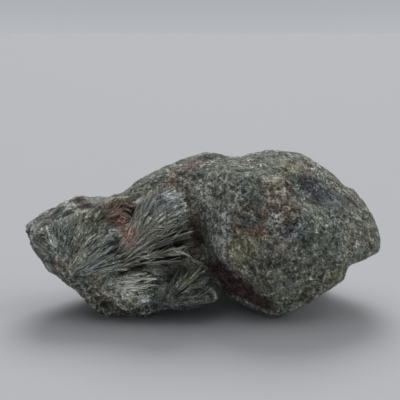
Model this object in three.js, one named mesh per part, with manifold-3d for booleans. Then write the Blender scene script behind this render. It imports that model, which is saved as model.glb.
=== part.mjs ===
// Raw seraphinite: one lump of green chlorite rock in two lobes, with feather-like fans of fibres
// fanning out over the left lobe and grainy rock on the right. Millimetres, +X along the length,
// +Z up, the best fans on the -Y side. The lump rests on worn flats under both lobes.

import * as THREE from "three";
import { mergeVertices } from "three/addons/utils/BufferGeometryUtils.js";
import Module from "manifold-3d";

const wasm = await Module();
wasm.setup();

const { clamp, degToRad, lerp, smoothstep } = THREE.MathUtils;

// ---------- driving dimensions ----------

const footprintMiddle = new THREE.Vector2(1.28, 0.93); // of the lump, in the coordinates used below
const floorDepth = 20; // how far below the rest plane the cutting block reaches

// Rough swells on every lobe: the size of a swell, its height, and where in the noise it is read.
const roughness = [
  { size: 14, height: 1, offset: 0 },
  { size: 6, height: 0.6, offset: 50 },
  { size: 2.7, height: 0.25, offset: 90 },
];

// Single swellings, and hollows with a negative height, on the surface near a point.
const swellings = [
  { at: [1.6, 4, 39], radius: 4, height: 1.2 }, // knob on the crest
  { at: [19, 2, 40.5], radius: 6, height: 0.8 }, // hump on the crest
  { at: [10.3, -17, 27.6], radius: 4.5, height: 1 }, // boss on the pale face
  { at: [23, -15, 32], radius: 5.5, height: -0.9 }, // blue-grey hollow, upper end
  { at: [30, -13, 30.5], radius: 5.5, height: -0.8 }, // blue-grey hollow, lower end
  { at: [10.5, -18, 19], radius: 4, height: -1.1 }, // yellowish hollow
  { at: [-1, -12, 26], radius: 3.6, height: -2.6 }, // crevice beside the fans, upper end
  { at: [0, -12, 20], radius: 3.6, height: -3.6 }, // crevice, middle
  { at: [1, -12, 14], radius: 3.6, height: -3.6 }, // crevice, lower end
  { at: [4.5, -14, 12], radius: 4, height: -2 }, // red-brown recess, upper end
  { at: [10, -15, 6.5], radius: 4.5, height: -2.4 }, // red-brown recess, lower end
  { at: [-26, -12, 3], radius: 4, height: 1 }, // bulge under the left fans
  { at: [-8.5, -16, 2.5], radius: 2.5, height: -1.6 }, // notch beside the moss-green foot
  { at: [17, -19, 24], radius: 5, height: 0.7 },
  { at: [26, -21, 14], radius: 6, height: 0.8 },
  { at: [36, -14, 20], radius: 6, height: 0.7 },
  { at: [-17.8, -16, 23.5], radius: 3.5, height: -0.5 }, // red hollow among the fans
  { at: [-28, -7, 26.4], radius: 2.2, height: -1.4 }, // dark notch on the left lobe's top
  { at: [-30, 7, 22], radius: 6, height: 1 },
  { at: [0, 20, 26], radius: 6, height: -1.4 },
  { at: [-8, 16, 14], radius: 6, height: 1.2 },
  { at: [22, 19, 30], radius: 6, height: 1.1 },
  { at: [36, 12, 12], radius: 6, height: -1.3 },
  { at: [40, 4, 28], radius: 5, height: 0.8 },
];

// A lobe is a run of stations along X, each [x, underside, top, front, back], and the flat faces
// where it has broken. A break has a point, the way it faces, how far its edges are rounded and,
// where it is only part of the lobe, the x between which it fades in.
const boulder = {
  rings: 42,
  sides: 38,
  squareness: 0.84,
  stations: [
    [-30, 20, 20, 6, 6],
    [-27.5, 12, 24, 0, 12],
    [-20, 8, 27.8, -6, 16],
    [-13, 6, 32.4, -9, 19],
    [-5, 4.5, 36, -10, 21.5],
    [0, 3.8, 37.9, -12, 22.3],
    [4, 3, 38.7, -15, 22.9],
    [8, 1.4, 39, -18, 23.4],
    [14, -0.9, 39.6, -19.6, 24],
    [22, -2.8, 40.4, -22, 24],
    [29.5, -1.2, 36.2, -20.5, 22],
    [36.5, 5, 31, -16, 17.5],
    [42.5, 11, 25.6, -11, 11],
    [46.4, 19, 19, -2, -2],
  ],
  breaks: [
    { at: [8, -17, 20], facing: [-0.32, -0.93, 0.2], rounding: 0.8 }, // pale face beside the fans
    { at: [24, -20.2, 17], facing: [0.1, -0.97, -0.2], rounding: 0.8 }, // broad front
    { at: [32, -12, 28.2], facing: [0.48, -0.52, 0.7], rounding: 0.8 }, // right shoulder
    { at: [14, -8, 37.4], facing: [-0.02, -0.3, 0.95], rounding: 0.8 }, // crest
    { at: [34, -7.5, 7.2], facing: [0.5, -0.2, -0.84], rounding: 0.8 }, // under the right end
    { at: [41.5, -6, 14.2], facing: [0.36, -0.2, -0.92], rounding: 0.2, fadeIn: [34.6, 36.6] }, // ledge
    { at: [45.2, 0, 19], facing: [0.96, -0.1, 0.26], rounding: 0.5 }, // right end
    { at: [9, -15.4, 10.2], facing: [-0.57, -0.63, -0.53], rounding: 0.2 }, // red-brown recess
    { at: [31, 16.5, 20], facing: [0.55, 0.8, 0.22], rounding: 1 }, // back, right
    { at: [8, 20.5, 22], facing: [-0.1, 0.96, 0.26], rounding: 1 }, // back, middle
    { at: [14, 12, 34.5], facing: [0.1, 0.5, 0.86], rounding: 1 }, // back of the crest
    { at: [8, 16, 4], facing: [0, 0.66, -0.75], rounding: 1 }, // under the back
    { at: [-16, 13, 20], facing: [-0.35, 0.9, 0.25], rounding: 1 }, // back, left
    { at: [22, 17.6, 16], facing: [0.06, 0.99, -0.1], rounding: 0.2, fadeIn: [19, 20] }, // back ledge
  ],
};

const featherLobe = {
  rings: 32,
  sides: 34,
  squareness: 0.88,
  stations: [
    [-44, 22, 22, -6, -6],
    [-42.8, 19.9, 23.8, -10, -1.5],
    [-38.5, 12, 26, -13, 4],
    [-31, 3.5, 27, -15.5, 9],
    [-27, -0.6, 26.8, -16.1, 10.8],
    [-24, -2.2, 26.8, -16.5, 12],
    [-18, -1.6, 27.2, -17, 12],
    [-12, -0.9, 28.4, -17.5, 10],
    [-6, 2.2, 28.4, -17, 6],
    [-2, 7, 25, -14.5, 1],
    [-0.5, 16.5, 16.5, -8, -8],
  ],
  breaks: [
    { at: [-38, -7, 24], facing: [-0.33, -0.25, 0.91], rounding: 0.5 }, // top of the left tip
    { at: [-38, -9, 10.5], facing: [-0.6, -0.25, -0.76], rounding: 0.8 }, // under the left tip
    { at: [-32, 5.5, 17], facing: [-0.45, 0.87, 0.2], rounding: 0.8 }, // back of the left tip
  ],
};

const mossLobe = {
  rings: 16,
  sides: 24,
  squareness: 0.9,
  stations: [
    [-14, 6, 6, -14, -14],
    [-12, 2.4, 11, -17, -8],
    [-6, 2, 13.4, -18, -3],
    [0, 2, 13.8, -17.5, 0],
    [5, 4.4, 10.5, -15, -4],
    [7.2, 7.5, 7.5, -10, -10],
  ],
  breaks: [],
};

const frontSide = -1;
const backSide = 1;

// A fan of fibres spreads over a lobe's front or back from a root at [x, z]. Its fibres leave at
// angles between two limits, in degrees up from +X, reach so far from the first angle to the last,
// and bend by so many degrees on the way. The root lies sunk in the rock, the fibres stand proud
// of it, and their tips droop back to it. They stand in ridged bundles of uneven width, whose tips
// end up to a share of their length short, level where that is below 0. Bend, droop, ridge and
// ragged have a value for the first angle and one for the last.
const fans = [
  { lobe: featherLobe, side: frontSide, root: [-22.5, 12], angles: [17, 68], // great fan
    reach: [21.5, 21.9, 22.6, 23.9, 25.2, 23.2, 21], bend: [22, 4], sunk: 1.2, proud: 3.8, droop: [0, 2.6],
    depth: 7, bundles: 15, ridge: [1.5, 0.3], ragged: [0.16, -0.1], seed: 1 },
  { lobe: featherLobe, side: frontSide, root: [-33.5, 14], angles: [44, 152], // left tip
    reach: [15.5, 14.5, 12.5, 11, 9], bend: [-8, -8], sunk: 1, proud: 1.3, droop: [1.5, 1.5],
    depth: 5, bundles: 14, ridge: [0.6, 0.6], ragged: [0.1, 0.1], seed: 2 },
  { lobe: featherLobe, side: frontSide, root: [-33.5, 9.6], angles: [16, 66], // between those two
    reach: [19, 19.5, 19.5, 18.5, 17], bend: [10, 10], sunk: 1, proud: 1.8, droop: [1.9, 1.9],
    depth: 5, bundles: 11, ridge: [0.7, 0.6], ragged: [0.14, 0.14], seed: 3 },
  { lobe: featherLobe, side: frontSide, root: [-26, 8], angles: [-30, 30], // silvery blades
    reach: [9.5, 13, 17, 18, 16.5], bend: [8, 8], sunk: 1, proud: 2, droop: [1.8, 0.2],
    depth: 5, bundles: 12, ridge: [0.7, 1.1], ragged: [0.14, 0.2], seed: 4 },
  { lobe: mossLobe, side: frontSide, root: [-9.5, 3.6], angles: [8, 78], // moss-green foot
    reach: [12, 14.4, 15.3, 13.5, 10.5], bend: [14, 14], sunk: 1, proud: 1.3, droop: [1.4, 1.4],
    depth: 5, bundles: 11, ridge: [0.6, 0.6], ragged: [0.14, 0.14], seed: 5 },
  { lobe: featherLobe, side: frontSide, root: [-26, 24.2], angles: [6, 54], // above the red hollow
    reach: [11, 12.5, 13, 11, 8.5], bend: [10, 10], sunk: 1, proud: 1.2, droop: [1.2, 1.2],
    depth: 5, bundles: 8, ridge: [0.6, 0.6], ragged: [0.14, 0.14], seed: 6 },
  { lobe: featherLobe, side: backSide, root: [-11, 12], angles: [138, 206], // back of the left lobe
    reach: [18, 21, 22, 20, 18], bend: [12, 12], sunk: 1, proud: 1.5, droop: [0.8, 0.8],
    depth: 6, bundles: 11, ridge: [0.7, 0.7], ragged: [0.16, 0.16], seed: 7 },
  { lobe: boulder, side: backSide, root: [17, 10], angles: [92, 158], // back of the boulder
    reach: [16, 19, 21, 20, 17], bend: [-12, -12], sunk: 1, proud: 1.3, droop: [0.8, 0.8],
    depth: 6, bundles: 10, ridge: [0.7, 0.7], ragged: [0.16, 0.16], seed: 8 },
];

const fanRows = 5; // from root to tip
const crestPlace = 0.3; // share of a bundle's width where its ridge stands, nearer its lower edge
const rootStart = 0.12; // share of the reach where the sunk root begins
const fanEdge = 0.16; // share of the fan's width over which its two edges come up
const standBy = 0.75; // share of the reach by which the fibres stand fully proud
const droopFrom = 0.7; // share of the reach past which the tips droop
const ridgeBelow = 0.6; // share of a ridge's height that lies below the fan's face
const ridgeAtRoot = 0.25; // share of a ridge's height that it has at the root
const bundleStep = 0.9; // how much bundles differ in height, in ridge heights
const grooveShort = 0.6; // how much shorter a bundle is in its grooves, in shares of ragged
const faceHalf = 0.88; // share of a lobe's half height past which its face carries on flat
const faceEnd = 1.5; // how far inside a lobe's second and last but one stations its face stops
const lineEnd = 8; // the same for the middle line that the roughness is pushed out from

// ---------- helpers ----------

// Catmull-Rom through rows of numbers, with t from 0 to 1 along them.
function spline(rows, t) {
  const last = rows.length - 1;
  const along = clamp(t, 0, 1) * last;
  const i = Math.min(Math.floor(along), last - 1);
  const f = along - i;
  const [a, b, c, d] = [-1, 0, 1, 2].map((k) => rows[clamp(i + k, 0, last)]);
  return a.map((_, k) => 0.5 * (2 * b[k] + (c[k] - a[k]) * f
    + (2 * a[k] - 5 * b[k] + 4 * c[k] - d[k]) * f ** 2
    + (3 * b[k] - a[k] - 3 * c[k] + d[k]) * f ** 3));
}

function fraction(value) {
  return value - Math.floor(value);
}

function random(i, j = 0, k = 0) {
  return fraction(Math.sin(i * 127.1 + j * 311.7 + k * 74.7) * 43758.5453);
}

// Smooth noise from -1 to 1: random values on a lattice of this size, blended between its corners.
function noise(point, size, offset) {
  const cell = [];
  const blend = [];
  for (const value of point.toArray()) {
    const place = (value + offset) / size;
    cell.push(Math.floor(place));
    blend.push(smoothstep(fraction(place), 0, 1));
  }
  let total = 0;
  for (let corner = 0; corner < 8; corner++) {
    const step = [corner & 1, (corner >> 1) & 1, corner >> 2];
    const share = step.reduce((product, s, k) => product * (s ? blend[k] : 1 - blend[k]), 1);
    total += share * random(cell[0] + step[0], cell[1] + step[1], cell[2] + step[2]);
  }
  return 2 * total - 1;
}

function signedPower(value, exponent) {
  return Math.sign(value) * Math.abs(value) ** exponent;
}

// Zero well below nothing, the value itself well above it, and rounded between.
function softPositive(value, rounding) {
  const t = value / rounding;
  return t > 30 ? value : Math.log1p(Math.exp(t)) * rounding;
}

// A solid for joining and cutting, from corners and faces; turned over if it is inside out.
function solidFrom(points, faces) {
  const volume = faces.reduce((sum, [a, b, c]) => (
    sum + points[a].dot(new THREE.Vector3().crossVectors(points[b], points[c]))), 0);
  const outward = volume > 0 ? faces : faces.map(([a, b, c]) => [a, c, b]);
  return new wasm.Manifold(new wasm.Mesh({
    numProp: 3,
    vertProperties: new Float32Array(points.flatMap((point) => point.toArray())),
    triVerts: new Uint32Array(outward.flat()),
  }));
}

// ---------- lobes ----------

// A lobe's station at this x, found by halving, because x only grows along the run.
function stationAt(lobe, x) {
  let low = 0;
  let high = 1;
  for (let i = 0; i < 30; i++) {
    const middle = (low + high) / 2;
    if (spline(lobe.stations, middle)[0] < x) {
      low = middle;
    } else {
      high = middle;
    }
  }
  return spline(lobe.stations, low);
}

// Push a point back to the inner side of a lobe's breaks.
function breakOff(point, breaks) {
  for (const { at, facing, rounding, fadeIn } of breaks) {
    const normal = new THREE.Vector3(...facing).normalize();
    const beyond = point.clone().sub(new THREE.Vector3(...at)).dot(normal);
    const share = fadeIn ? smoothstep(point.x, fadeIn[0], fadeIn[1]) : 1;
    point.addScaledVector(normal, -share * softPositive(beyond, rounding));
  }
}

// The direction away from a lobe's middle line.
function outwardFrom(lobe, point) {
  const { stations } = lobe;
  const lineX = clamp(point.x, stations[1][0] + lineEnd, stations.at(-2)[0] - lineEnd);
  const [, low, high, front, back] = stationAt(lobe, lineX);
  const line = new THREE.Vector3(lineX, (front + back) / 2, (low + high) / 2);
  return point.clone().sub(line).normalize();
}

// Move a point in or out of its lobe by the swells and swellings there.
function roughen(point, lobe) {
  let height = 0;
  for (const { size, height: swell, offset } of roughness) {
    height += swell * noise(point, size, offset);
  }
  for (const { at, radius, height: swell } of swellings) {
    height += swell * Math.exp(-point.distanceToSquared(new THREE.Vector3(...at)) / radius ** 2);
  }
  point.addScaledVector(outwardFrom(lobe, point), height);
}

// A point on a lobe, u along it and v round its squared-off oval section.
function lobePoint(lobe, u, v) {
  const [x, low, high, front, back] = spline(lobe.stations, u);
  const y = (front + back) / 2 + (back - front) / 2 * signedPower(Math.cos(v), lobe.squareness);
  const z = (low + high) / 2 + (high - low) / 2 * signedPower(Math.sin(v), lobe.squareness);
  const point = new THREE.Vector3(x, y, z);
  breakOff(point, lobe.breaks);
  roughen(point, lobe);
  return point;
}

// Rings of corners between one corner at each end.
function lobeSolid(lobe) {
  const { rings, sides } = lobe;
  const points = [lobePoint(lobe, 0, 0)];
  for (let i = 1; i < rings; i++) {
    for (let j = 0; j < sides; j++) {
      points.push(lobePoint(lobe, i / rings, (j / sides) * 2 * Math.PI));
    }
  }
  points.push(lobePoint(lobe, 1, 0));
  const end = points.length - 1;
  const corner = (i, j) => 1 + (i - 1) * sides + (j % sides);
  const faces = [];
  for (let j = 0; j < sides; j++) {
    faces.push([0, corner(1, j + 1), corner(1, j)]);
    for (let i = 1; i < rings - 1; i++) {
      faces.push([corner(i, j), corner(i, j + 1), corner(i + 1, j + 1)]);
      faces.push([corner(i, j), corner(i + 1, j + 1), corner(i + 1, j)]);
    }
    faces.push([end, corner(rings - 1, j), corner(rings - 1, j + 1)]);
  }
  return solidFrom(points, faces);
}

// ---------- fans ----------

// How far out a lobe's front or back lies at this x and z. Past the edge of the face it carries
// straight on, so that a fan can reach out beyond its lobe.
function faceY(lobe, side, x, z) {
  const { stations, squareness } = lobe;
  const inside = clamp(x, stations[1][0] + faceEnd, stations.at(-2)[0] - faceEnd);
  const [, low, high, front, back] = stationAt(lobe, inside);
  const offMiddle = Math.abs(z - (low + high) / 2) / ((high - low) / 2);
  const rise = offMiddle / (1 + (offMiddle / faceHalf) ** 6) ** (1 / 6);
  const out = Math.sqrt(1 - rise ** (2 / squareness)) ** squareness;
  return (front + back) / 2 + side * (back - front) / 2 * out;
}

// Where a fan's bundles part, from 0 to 1 across it, each as wide as chance makes it.
function bundleEdges(fan) {
  const widths = Array.from({ length: fan.bundles }, (_, i) => 0.5 + random(i + 31 * fan.seed));
  const total = widths.reduce((sum, width) => sum + width, 0);
  const edges = [0];
  for (const width of widths) {
    edges.push(edges.at(-1) + width / total);
  }
  return edges;
}

// A point on a fan's face, a share of the way from root to tip and from its first angle to its last,
// and the point deep in the rock behind it.
function fanPoints(fan, along, across) {
  const { angles, reach, bend, droop, ridge, ragged, seed, lobe, side } = fan;
  const edges = bundleEdges(fan);
  const bundle = Math.max(edges.findLastIndex((edge) => edge < across - 1e-6), 0);
  const place = (across - edges[bundle]) / (edges[bundle + 1] - edges[bundle]);
  const crest = clamp(Math.min(place / crestPlace, (1 - place) / (1 - crestPlace)), 0, 1);
  const uneven = Math.max(lerp(ragged[0], ragged[1], across), 0);
  const cutShort = uneven * (random(bundle + 17 * seed) + grooveShort * (1 - crest));
  const length = spline(reach.map((value) => [value]), across)[0] * (1 - cutShort) * along;
  const turn = lerp(bend[0], bend[1], across) * (along - 0.5);
  const angle = degToRad(lerp(angles[0], angles[1], across) - turn);
  const x = fan.root[0] + length * Math.cos(angle);
  const z = fan.root[1] + length * Math.sin(angle);
  const edge = smoothstep(across, 0, fanEdge) * smoothstep(1 - across, 0, fanEdge);
  const rise = (fan.sunk + fan.proud) * smoothstep(along, 0, standBy) * edge - fan.sunk;
  const fall = lerp(droop[0], droop[1], across) * smoothstep(along, droopFrom, 1) ** 2 * edge;
  const step = bundleStep * (random(bundle * 3 + 5 * seed) - 0.5);
  const height = lerp(ridge[0], ridge[1], across) * lerp(ridgeAtRoot, 1, along);
  const crease = height * (crest - ridgeBelow + step);
  const foot = new THREE.Vector3(x, faceY(lobe, side, x, z), z);
  breakOff(foot, lobe.breaks);
  const outward = outwardFrom(lobe, foot);
  return {
    face: foot.clone().addScaledVector(outward, rise - fall + crease),
    deep: foot.clone().addScaledVector(outward, -fan.depth),
  };
}

// A fan's face, a second face deep in the rock, and the walls between them. The columns of corners
// run along the grooves between the bundles and along their ridges.
function fanSolid(fan) {
  const edges = bundleEdges(fan);
  const columnPlaces = [0];
  for (let i = 0; i < fan.bundles; i++) {
    columnPlaces.push(lerp(edges[i], edges[i + 1], crestPlace), edges[i + 1]);
  }
  const columns = columnPlaces.length - 1;
  const pairs = [];
  for (let i = 0; i <= fanRows; i++) {
    for (const across of columnPlaces) {
      pairs.push(fanPoints(fan, rootStart + (1 - rootStart) * (i / fanRows), across));
    }
  }
  const points = [...pairs.map(({ face }) => face), ...pairs.map(({ deep }) => deep)];
  const corner = (i, j) => i * (columns + 1) + j;
  const deep = (index) => index + pairs.length;
  const faces = [];
  for (let i = 0; i < fanRows; i++) {
    for (let j = 0; j < columns; j++) {
      const [a, b] = [corner(i, j), corner(i + 1, j)];
      faces.push([a, b, b + 1], [a, b + 1, a + 1]);
      faces.push([deep(a), deep(b + 1), deep(b)], [deep(a), deep(a + 1), deep(b + 1)]);
    }
  }
  const wall = (a, b) => faces.push([a, deep(a), deep(b)], [a, deep(b), b]);
  for (let j = 0; j < columns; j++) {
    wall(corner(fanRows, j), corner(fanRows, j + 1));
    wall(corner(0, j + 1), corner(0, j));
  }
  for (let i = 0; i < fanRows; i++) {
    wall(corner(i, 0), corner(i + 1, 0));
    wall(corner(i + 1, columns), corner(i, columns));
  }
  return solidFrom(points, faces);
}

// ---------- the lump ----------

// Everything below the rest plane, to be cut away.
function floorBlock() {
  const block = mergeVertices(plain(new THREE.BoxGeometry(200, 200, floorDepth)));
  block.translate(0, 0, -floorDepth / 2);
  return new wasm.Manifold(new wasm.Mesh({
    numProp: 3,
    vertProperties: block.attributes.position.array,
    triVerts: new Uint32Array(block.index.array),
  }));
}

function plain(geometry) {
  geometry.deleteAttribute("normal");
  geometry.deleteAttribute("uv");
  return geometry;
}

function lumpGeometry() {
  let lump = lobeSolid(boulder).add(lobeSolid(featherLobe)).add(lobeSolid(mossLobe));
  for (const fan of fans) {
    lump = lump.add(fanSolid(fan));
  }
  const { numProp, vertProperties, triVerts } = lump.subtract(floorBlock()).getMesh();
  const corners = new Float32Array((vertProperties.length / numProp) * 3);
  for (let i = 0; i < corners.length; i++) {
    corners[i] = vertProperties[Math.floor(i / 3) * numProp + (i % 3)];
  }
  const geometry = new THREE.BufferGeometry();
  geometry.setAttribute("position", new THREE.BufferAttribute(corners, 3));
  geometry.setIndex(new THREE.BufferAttribute(triVerts, 1));
  geometry.translate(-footprintMiddle.x, -footprintMiddle.y, 0);
  return geometry;
}

const greenStone = new THREE.MeshStandardMaterial({ color: 0x5c6259, roughness: 0.8, metalness: 0 });
const seraphinite = new THREE.Mesh(lumpGeometry(), greenStone);
seraphinite.name = "seraphinite";

const specimen = new THREE.Group();
specimen.add(seraphinite);

export default specimen;
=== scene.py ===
import bpy
import numpy as np
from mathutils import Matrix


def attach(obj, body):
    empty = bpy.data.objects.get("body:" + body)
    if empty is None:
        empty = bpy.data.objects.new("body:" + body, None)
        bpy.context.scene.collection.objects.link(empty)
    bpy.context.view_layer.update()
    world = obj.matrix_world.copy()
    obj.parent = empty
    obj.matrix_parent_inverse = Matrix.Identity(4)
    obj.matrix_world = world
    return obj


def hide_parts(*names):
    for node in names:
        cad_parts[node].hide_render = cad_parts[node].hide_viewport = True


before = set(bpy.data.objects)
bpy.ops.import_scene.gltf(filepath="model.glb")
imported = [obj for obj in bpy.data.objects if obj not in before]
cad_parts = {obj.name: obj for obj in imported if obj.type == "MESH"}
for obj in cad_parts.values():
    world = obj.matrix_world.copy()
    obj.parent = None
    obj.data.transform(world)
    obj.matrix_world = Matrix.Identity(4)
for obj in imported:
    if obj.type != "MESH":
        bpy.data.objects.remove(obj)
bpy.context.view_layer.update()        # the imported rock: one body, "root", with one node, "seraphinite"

# Raw seraphinite: a grainy boulder on the right and a lobe feathered with fans of fibres on the left.
# Numbers are millimetres, +Z up, the front towards -Y. Meshes are put down in metres at the very end.
footprintMiddle = np.array([1.28, 0.93, 0.0])  # this point is put down at the origin
millimetre = 0.001


def smooth(low, high, value):
    # 0 below low, 1 above high, and 3s^2 - 2s^3 between
    share = np.clip((value - low) / (high - low), 0, 1)
    return share * share * (3 - 2 * share)


def blend(first, last, share):
    return first + (last - first) * share


def spline(rows, t):
    # Catmull-Rom through rows of numbers, with t from 0 to 1 along them
    rows = np.asarray(rows, float)
    last = len(rows) - 1
    along = np.clip(t, 0, 1) * last
    i = np.minimum(along.astype(int), last - 1)
    f = (along - i)[..., None]
    a, b, c, d = (rows[np.clip(i + k, 0, last)] for k in (-1, 0, 1, 2))
    slope = c - a
    bow = 2 * a - 5 * b + 4 * c - d
    twist = 3 * b - a - 3 * c + d
    return 0.5 * (2 * b + slope * f + bow * f**2 + twist * f**3)


def random(i, j=0.0, k=0.0):
    # fraction of a huge sine: the same number every time for the same whole i, j, k
    value = np.sin(i * 127.1 + j * 311.7 + k * 74.7) * 43758.5453
    return value - np.floor(value)


def noise(points, size, offset=0.0):
    # -1..1: random values on a lattice of this size, blended between its eight corners
    place = (points + offset) / size
    cell = np.floor(place)
    share = smooth(0, 1, place - cell)
    total = 0
    for corner in range(8):
        step = (corner & 1, (corner >> 1) & 1, corner >> 2)
        weight = 1
        for k in range(3):
            weight = weight * (share[..., k] if step[k] else 1 - share[..., k])
        total = total + weight * random(*(cell[..., k] + step[k] for k in range(3)))
    return 2 * total - 1


def mottle(points, swells):
    # several noises added up, each with a size, a height and an offset
    return sum(height * noise(points, size, offset) for size, height, offset in swells)


def streak(a, b, seed):
    # -1..1: the same noise in two directions, with a lattice step of 1 in each
    cellA, cellB = np.floor(a), np.floor(b)
    shareA, shareB = smooth(0, 1, a - cellA), smooth(0, 1, b - cellB)
    near = blend(random(cellA, cellB, seed), random(cellA + 1, cellB, seed), shareA)
    far = blend(random(cellA, cellB + 1, seed), random(cellA + 1, cellB + 1, seed), shareA)
    return 2 * blend(near, far, shareB) - 1


def chips(points, size, seed):
    # broken facets: round the nearest of some scattered centres the surface is a plane with a tilt of
    # its own. Gives the plane's height (about -0.5..0.5), a random value for the chip, and how far a
    # point is from the chip's edge (0 on the edge)
    cell = np.floor(points / size)
    nearest = np.full(points.shape[:-1], 9.0)
    second = nearest.copy()
    height = np.zeros_like(nearest)
    value = np.zeros_like(nearest)
    for step in np.ndindex(3, 3, 3):
        corner = cell + np.array(step) - 1
        i, j, k = np.moveaxis(corner, -1, 0)
        centre = corner + np.stack(
            [random(i + seed, j, k), random(i, j + seed, k), random(i, j, k + seed)], -1)
        away = points / size - centre
        distance = np.linalg.norm(away, axis=-1)
        tilt = [random(i, j + 7, k + seed), random(i + 7, j, k + seed), random(i + seed, j + 7, k)]
        closer = distance < nearest
        second = np.where(closer, nearest, np.minimum(second, distance))
        nearest = np.where(closer, distance, nearest)
        height = np.where(closer, (away * (np.stack(tilt, -1) - 0.5)).sum(-1) * 2, height)
        value = np.where(closer, random(i + 3, j + 5, k + seed), value)
    return height, value, second - nearest


def unit(vectors):
    return vectors / np.linalg.norm(vectors, axis=-1, keepdims=True)


def offLine(points, start, end):
    # how far points are from the straight line between two places
    start, end = np.array(start, float), np.array(end, float)
    line = end - start
    share = np.clip((points - start) @ line / (line @ line), 0, 1)
    return np.linalg.norm(points - start - share[..., None] * line, axis=-1)


def signedPower(value, exponent):
    return np.sign(value) * np.abs(value) ** exponent


# A lobe is a run of stations along X, each [x, underside, top, front, back], and the flat faces where
# it has broken: a point on each, the way it faces, how far its edges are rounded and, for one that is
# only part of the lobe, the x between which it fades in.
boulder = {
    "squareness": 0.84, "along": 300, "around": 330,
    "stations": [
        [-30, 20, 20, 6, 6], [-27.5, 12, 24, 0, 12], [-20, 8, 27.8, -6, 16], [-13, 6, 32.4, -9, 19],
        [-5, 4.5, 36, -10, 21.5], [0, 3.8, 37.9, -12, 22.3], [4, 3, 38.7, -15, 22.9],
        [8, 1.4, 39, -18, 23.4], [14, -0.9, 39.6, -19.6, 24], [22, -2.8, 40.4, -22, 24],
        [29.5, -1.2, 36.2, -20.5, 22], [36.5, 5, 31, -16, 17.5], [42.5, 11, 25.6, -11, 11],
        [46.4, 19, 19, -2, -2],
    ],
    "breaks": [
        ([8, -17, 20], [-0.32, -0.93, 0.2], 0.8, None),  # pale face beside the fans
        ([24, -20.2, 17], [0.1, -0.97, -0.2], 0.8, None),  # broad front
        ([32, -12, 28.2], [0.48, -0.52, 0.7], 0.8, None),  # right shoulder
        ([14, -8, 37.4], [-0.02, -0.3, 0.95], 0.8, None),  # crest
        ([34, -7.5, 7.2], [0.5, -0.2, -0.84], 0.8, None),  # under the right end
        ([41.5, -6, 14.2], [0.36, -0.2, -0.92], 0.2, [34.6, 36.6]),  # ledge
        ([45.2, 0, 19], [0.96, -0.1, 0.26], 0.5, None),  # right end
        ([9, -15.4, 10.2], [-0.57, -0.63, -0.53], 0.2, None),  # red-brown recess
        ([31, 16.5, 20], [0.55, 0.8, 0.22], 1, None),  # back, right
        ([8, 20.5, 22], [-0.1, 0.96, 0.26], 1, None),  # back, middle
        ([14, 12, 34.5], [0.1, 0.5, 0.86], 1, None),  # back of the crest
        ([8, 16, 4], [0, 0.66, -0.75], 1, None),  # under the back
        ([-16, 13, 20], [-0.35, 0.9, 0.25], 1, None),  # back, left
        ([22, 17.6, 16], [0.06, 0.99, -0.1], 0.2, [19, 20]),  # back ledge
    ],
}

featherLobe = {
    "squareness": 0.88, "along": 200, "around": 250,
    "stations": [
        [-44, 22, 22, -6, -6], [-42.8, 19.9, 23.8, -10, -1.5], [-38.5, 12, 26, -13, 4],
        [-31, 3.5, 27, -15.5, 9], [-27, -0.6, 26.8, -16.1, 10.8], [-24, -2.2, 26.8, -16.5, 12],
        [-18, -1.6, 27.2, -17, 12], [-12, -0.9, 28.4, -17.5, 10], [-6, 2.2, 28.4, -17, 6],
        [-2, 7, 25, -14.5, 1], [-0.5, 16.5, 16.5, -8, -8],
    ],
    "breaks": [
        ([-38, -7, 24], [-0.33, -0.25, 0.91], 0.5, None),  # top of the left tip
        ([-38, -9, 10.5], [-0.6, -0.25, -0.76], 0.8, None),  # under the left tip
        ([-32, 5.5, 17], [-0.45, 0.87, 0.2], 0.8, None),  # back of the left tip
    ],
}

mossLobe = {
    "squareness": 0.9, "along": 110, "around": 180,
    "stations": [
        [-14, 6, 6, -14, -14], [-12, 2.4, 11, -17, -8], [-6, 2, 13.4, -18, -3],
        [0, 2, 13.8, -17.5, 0], [5, 4.4, 10.5, -15, -4], [7.2, 7.5, 7.5, -10, -10],
    ],
    "breaks": [],
}

roughness = [(14, 1, 0), (6, 0.6, 50), (2.7, 0.25, 90)]  # swells: size, height, offset in the noise

swellings = [  # a point near the surface, a radius and a height, negative for a hollow
    ([1.6, 4, 39], 4, 1.2),  # knob on the crest
    ([19, 2, 40.5], 6, 0.8),  # hump on the crest
    ([10.3, -17, 27.6], 4.5, 1),  # boss on the pale face
    ([23, -15, 32], 5.5, -0.9),  # blue-grey hollow, upper end
    ([30, -13, 30.5], 5.5, -0.8),  # blue-grey hollow, lower end
    ([10.5, -18, 19], 4, -1.1),  # yellowish hollow
    ([-1, -12, 26], 3.6, -2.6),  # crevice beside the fans, upper end
    ([0, -12, 20], 3.6, -3.6),  # crevice, middle
    ([1, -12, 14], 3.6, -3.6),  # crevice, lower end
    ([4.5, -14, 12], 4, -2),  # red-brown recess, upper end
    ([10, -15, 6.5], 4.5, -2.4),  # red-brown recess, lower end
    ([-26, -12, 3], 4, 1),  # bulge under the left fans
    ([-8.5, -16, 2.5], 2.5, -1.6),  # notch beside the moss-green foot
    ([17, -19, 24], 5, 0.7),
    ([26, -21, 14], 6, 0.8),
    ([36, -14, 20], 6, 0.7),
    ([-17.8, -16, 23.5], 3.5, -0.5),  # red hollow among the fans
    ([-28, -7, 26.4], 2.2, -1.4),  # dark notch on the left lobe's top
    ([-30, 7, 22], 6, 1),
    ([0, 20, 26], 6, -1.4),
    ([-8, 16, 14], 6, 1.2),
    ([22, 19, 30], 6, 1.1),
    ([36, 12, 12], 6, -1.3),
    ([40, 4, 28], 5, 0.8),
]

lineEnd = 8  # how far inside its ends a lobe's middle line stops
faceEnd = 1.5  # the same for the faces that fans lie on
faceHalf = 0.88  # share of a lobe's half height past which its face carries on flat


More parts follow.
